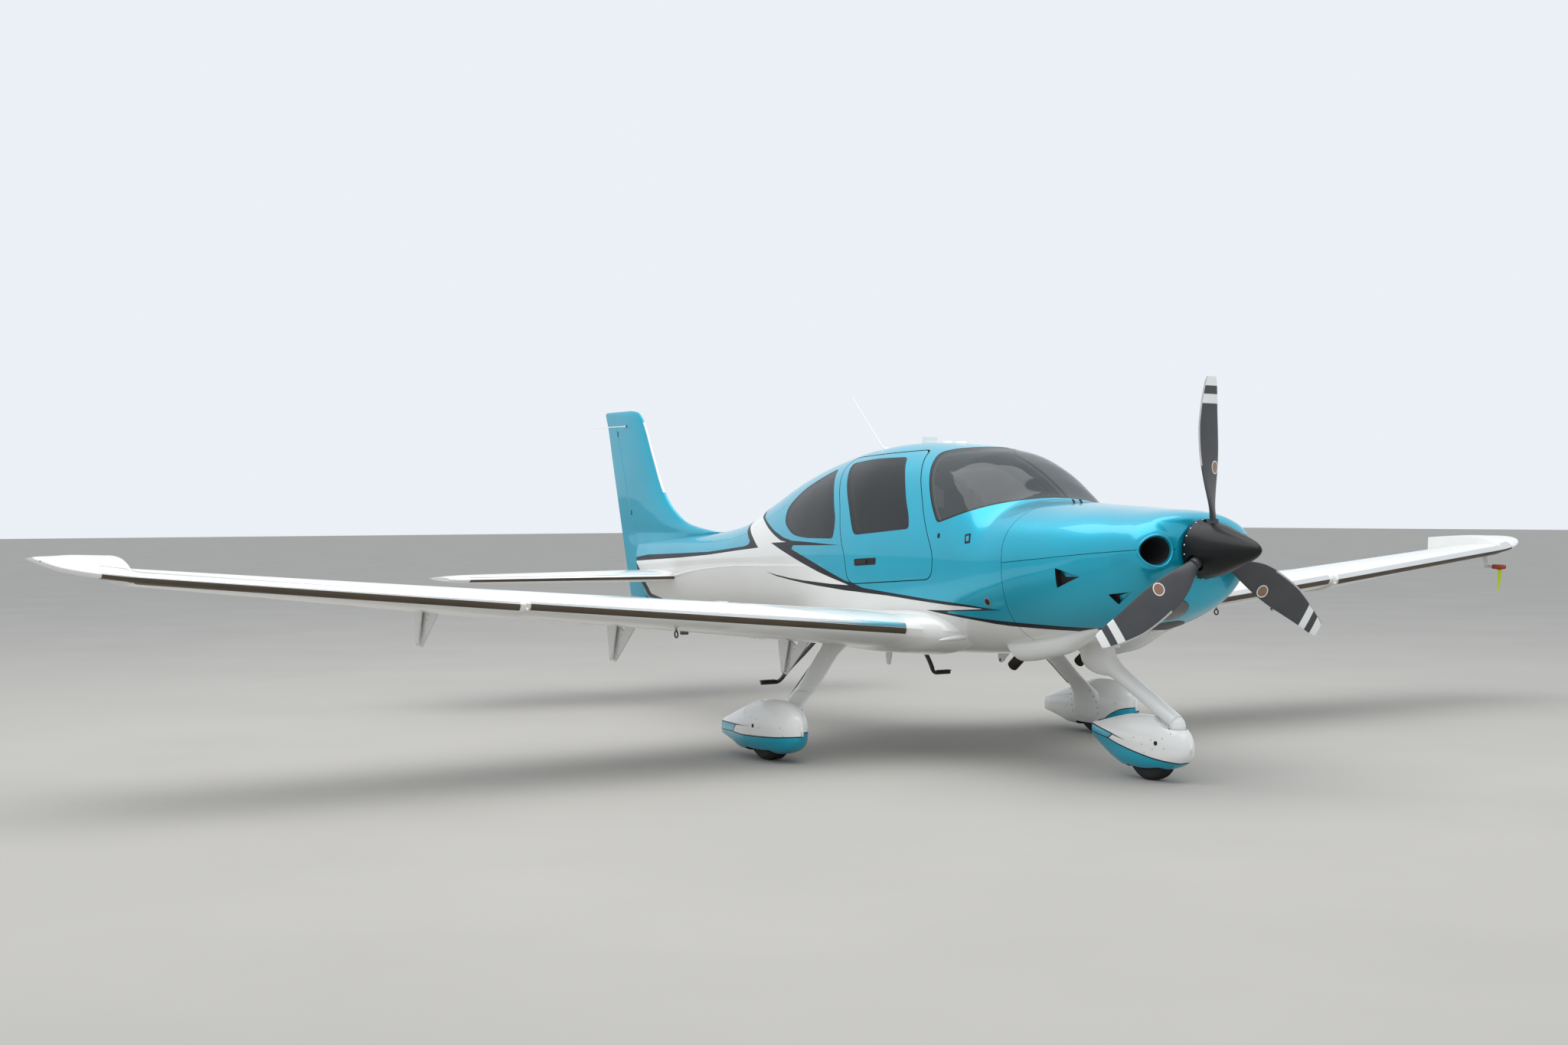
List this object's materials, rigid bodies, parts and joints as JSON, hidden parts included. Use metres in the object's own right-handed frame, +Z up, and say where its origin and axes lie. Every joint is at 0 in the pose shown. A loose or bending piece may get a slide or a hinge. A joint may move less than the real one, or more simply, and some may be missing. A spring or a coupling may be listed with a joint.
{
  "type": "light aircraft",
  "caption": "Low-wing light aircraft with fixed faired tricycle gear, a nose propeller, opening doors and working control surfaces.",
  "frame": {"origin": "centre of the bounding box's base, on the ground", "axes": "+X towards the aircraft's left wing tip, -Y towards the nose, +Z up"},
  "size_m": [11.68, 7.92, 2.462],
  "materials": {
    "upper_paint": "gloss",
    "white_paint": "gloss",
    "black_paint": "satin",
    "windows": "polished",
    "interior_plastic": "matte",
    "cabin_lining": "matte",
    "seat_leather": "matte",
    "engine_casting": "rough",
    "bare_metal": "brushed",
    "wheel_metal": "satin",
    "tyre_rubber": "matte",
    "cover_cloth": "woven",
    "streamer_cloth": "woven"
  },
  "bodies": {
    "airframe": {"cowl_upper": "upper_paint", "cowl_lower": "upper_paint", "engine_block": "engine_casting", "cabin_shell": "upper_paint", "tail_cone": "white_paint", "windshield": "windows", "rear_window_right": "windows", "rear_window_left": "windows", "cabin_floor": "cabin_lining", "rear_bulkhead": "cabin_lining", "instrument_panel": "interior_plastic", "front_seat_right": "seat_leather", "front_seat_left": "seat_leather", "rear_seat": "seat_leather", "gear_leg_right": "white_paint", "gear_leg_left": "white_paint", "wheel_pant_right": "white_paint", "wheel_pant_left": "white_paint", "nose_strut": "bare_metal", "wing_right": "white_paint", "wing_left": "white_paint", "stabilizer_right": "white_paint", "stabilizer_left": "white_paint", "fin": "upper_paint", "exhaust_right": "bare_metal", "exhaust_left": "bare_metal", "entry_step_right": "black_paint", "entry_step_left": "black_paint", "tie_down_ring_right": "bare_metal", "tie_down_ring_left": "bare_metal", "pitot_tube": "bare_metal", "pitot_cover": "cover_cloth", "streamer": "streamer_cloth", "whip_antenna": "black_paint", "blade_antenna": "white_paint"},
    "propeller": {"spinner": "black_paint", "propeller_blade_1": "black_paint", "propeller_blade_2": "black_paint", "propeller_blade_3": "black_paint"},
    "wheel_right": {"rim_right": "wheel_metal", "tyre_right": "tyre_rubber"},
    "wheel_left": {"rim_left": "wheel_metal", "tyre_left": "tyre_rubber"},
    "nose_gear": {"nose_fork": "bare_metal", "nose_pant": "white_paint"},
    "nose_wheel": {"nose_rim": "wheel_metal", "nose_tyre": "tyre_rubber"},
    "flap_right": {"flap_right": "white_paint"},
    "aileron_right": {"aileron_right": "white_paint"},
    "door_right": {"door_right": "upper_paint", "door_window_right": "windows"},
    "flap_left": {"flap_left": "white_paint"},
    "aileron_left": {"aileron_left": "white_paint"},
    "door_left": {"door_left": "upper_paint", "door_window_left": "windows"},
    "elevator": {"elevator": "white_paint"},
    "rudder": {"rudder": "upper_paint"}
  },
  "joints": [
    {"name": "propeller_spin", "type": "hinge", "parent": "airframe", "child": "propeller", "pos_m": [0, -3.59, 1.357], "axis": [0, 1, 0], "continuous": true},
    {"name": "main_wheel_right_roll", "type": "hinge", "parent": "airframe", "child": "wheel_right", "pos_m": [-1.381, -1.069, 0.19], "axis": [-1, 0, 0], "continuous": true},
    {"name": "main_wheel_left_roll", "type": "hinge", "parent": "airframe", "child": "wheel_left", "pos_m": [1.381, -1.069, 0.19], "axis": [-1, 0, 0], "continuous": true},
    {"name": "nose_caster", "type": "hinge", "parent": "airframe", "child": "nose_gear", "pos_m": [0, -3.308, 0.3], "axis": [0, 0, 1], "range_deg": [-85, 85]},
    {"name": "nose_wheel_roll", "type": "hinge", "parent": "nose_gear", "child": "nose_wheel", "pos_m": [0, -3.099, 0.175], "axis": [-1, 0, 0], "continuous": true},
    {"name": "flap_right_hinge", "type": "hinge", "parent": "airframe", "child": "flap_right", "pos_m": [-0.92, -0.52, 0.505], "axis": [-0.993, -0.0414, 0.111], "range_deg": [0, 32]},
    {"name": "flap_left_hinge", "type": "hinge", "parent": "airframe", "child": "flap_left", "pos_m": [0.92, -0.52, 0.505], "axis": [-0.993, 0.0414, -0.111], "range_deg": [0, 32]},
    {"name": "aileron_right_hinge", "type": "hinge", "parent": "airframe", "child": "aileron_right", "pos_m": [-3.776, -0.7191, 1.07307], "axis": [-0.9937, -0.0467, 0.1021], "range_deg": [-12.5, 12.5]},
    {"name": "aileron_left_hinge", "type": "hinge", "parent": "airframe", "child": "aileron_left", "pos_m": [3.776, -0.7191, 1.07307], "axis": [-0.9937, 0.0467, -0.1021], "range_deg": [-12.5, 12.5]},
    {"name": "elevator_hinge", "type": "hinge", "parent": "airframe", "child": "elevator", "pos_m": [0, 3.025, 1.048], "axis": [1, 0, 0], "range_deg": [-15, 25]},
    {"name": "rudder_hinge", "type": "hinge", "parent": "airframe", "child": "rudder", "pos_m": [0, 3.17, 0.847], "axis": [0, 0.3495, 0.9369], "range_deg": [-20, 20]},
    {"name": "door_right_hinge", "type": "hinge", "parent": "airframe", "child": "door_right", "pos_m": [-0.585, -1.68, 1.66], "axis": [0.3244, 0.4867, 0.8111], "range_deg": [0, 70]},
    {"name": "door_left_hinge", "type": "hinge", "parent": "airframe", "child": "door_left", "pos_m": [0.585, -1.68, 1.66], "axis": [0.3244, -0.4867, -0.8111], "range_deg": [0, 70]}
  ],
  "couplings": [
    {"joint": "flap_left_hinge", "follows": "flap_right_hinge", "ratio": 1},
    {"joint": "aileron_left_hinge", "follows": "aileron_right_hinge", "ratio": -1}
  ]
}
